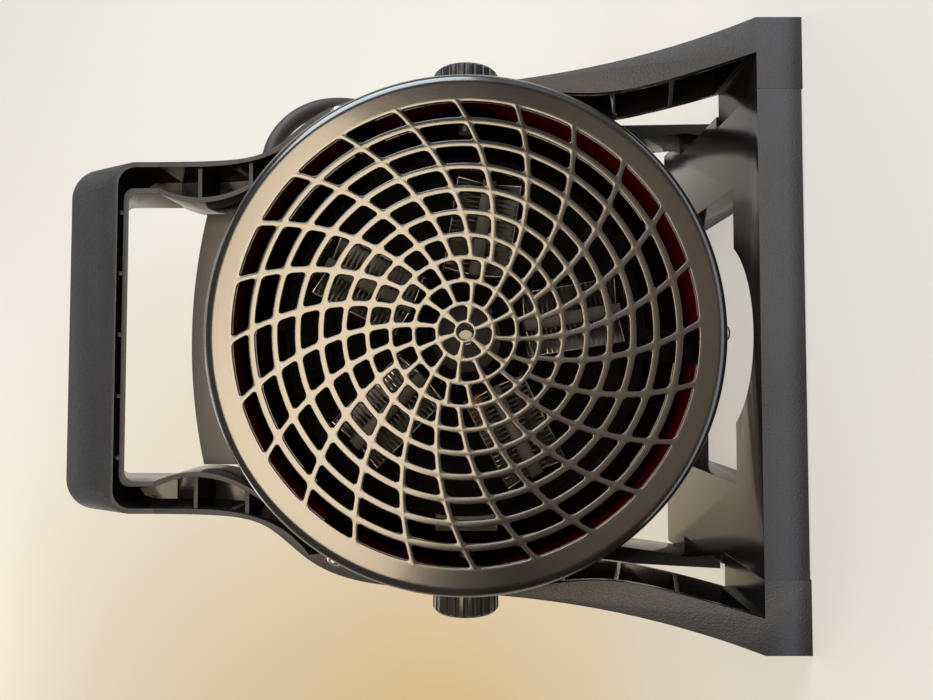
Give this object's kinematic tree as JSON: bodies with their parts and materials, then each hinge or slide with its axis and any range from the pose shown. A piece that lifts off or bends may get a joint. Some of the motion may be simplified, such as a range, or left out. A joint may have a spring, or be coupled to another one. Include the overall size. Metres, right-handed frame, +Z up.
{
  "type": "ceramic fan heater",
  "caption": "Round tilting ceramic fan heater with a spiral-net grille, in a black moulded stand with a carrying handle, clamp knobs and a coiled mains lead.",
  "frame": {"origin": "on the floor, in the middle of the footprint without the mains lead", "axes": "+Z up, the grille faces -Y, +X is to the right seen from the front"},
  "size_m": [0.2382, 0.2936, 0.278],
  "materials": {
    "stand_plastic": "fine grained charcoal moulding",
    "housing_plastic": "satin black moulding",
    "knob_plastic": "semi-gloss black",
    "red_paint": "deep red stove enamel",
    "grille_coat": "dark satin powder coat",
    "zinc_steel": "zinc plated",
    "brass": "turned",
    "bright_steel": "plain sheet",
    "fin_aluminium": "thin stamped fins",
    "copper_wire": "enamelled windings",
    "fan_plastic": "moulded dark grey",
    "switch_plastic": "moulded",
    "cord_rubber": "matt black"
  },
  "bodies": {
    "stand": {"right_side_frame": "stand_plastic", "left_side_frame": "stand_plastic", "carry_handle": "stand_plastic", "base_tray": "stand_plastic", "base_screws": "zinc_steel", "pivot_washers": "zinc_steel", "power_cord": "cord_rubber", "cord_coil": "cord_rubber", "cord_tail": "cord_rubber", "cord_tie": "cord_rubber", "plug_body": "cord_rubber", "plug_pins": "brass"},
    "drum": {"drum_shell": "red_paint", "front_grille": "grille_coat", "grille_screws": "zinc_steel", "rear_guard": "grille_coat", "guard_screws": "zinc_steel", "control_housing": "housing_plastic", "control_panel": "housing_plastic", "panel_screws": "zinc_steel", "thermostat": "switch_plastic", "mode_switch": "switch_plastic", "terminal_block": "switch_plastic", "cord_gland": "cord_rubber", "heater_plate": "bright_steel", "ptc_modules": "fin_aluminium", "thermal_cutout": "bright_steel", "motor_stator": "bright_steel", "motor_coils": "copper_wire", "front_bearing_bracket": "bright_steel", "rear_bearing_bracket": "bright_steel", "motor_mount": "bright_steel", "motor_screws": "zinc_steel", "pivot_bushes": "brass"},
    "right_clamp": {"right_tilt_knob": "knob_plastic", "right_tilt_bolt": "zinc_steel"},
    "left_clamp": {"left_tilt_knob": "knob_plastic", "left_tilt_bolt": "zinc_steel"},
    "fan": {"fan_impeller": "fan_plastic", "motor_shaft": "zinc_steel"},
    "thermostat_control": {"thermostat_dial": "knob_plastic", "thermostat_shaft": "zinc_steel"},
    "mode_control": {"mode_dial": "knob_plastic", "mode_shaft": "zinc_steel"}
  },
  "joints": [
    {"name": "drum_tilt", "type": "hinge", "parent": "stand", "child": "drum", "pos_m": [0, -0.02635, 0.118], "axis": [1, 0, 0], "range_deg": [-15, 15]},
    {"name": "right_clamp_turn", "type": "hinge", "parent": "drum", "child": "right_clamp", "pos_m": [0, -0.02635, 0.118], "axis": [1, 0, 0], "range_deg": [0, 360]},
    {"name": "left_clamp_turn", "type": "hinge", "parent": "drum", "child": "left_clamp", "pos_m": [0, -0.02635, 0.118], "axis": [-1, 0, 0], "range_deg": [0, 360]},
    {"name": "fan_spin", "type": "hinge", "parent": "drum", "child": "fan", "pos_m": [0, -0.02635, 0.118], "axis": [0, -1, 0], "continuous": true},
    {"name": "thermostat_turn", "type": "hinge", "parent": "drum", "child": "thermostat_control", "pos_m": [0.026, 0.05115, 0.2183], "axis": [0, -1, 0], "range_deg": [0, 270]},
    {"name": "mode_turn", "type": "hinge", "parent": "drum", "child": "mode_control", "pos_m": [-0.026, 0.05115, 0.2183], "axis": [0, -1, 0], "range_deg": [0, 135]}
  ]
}
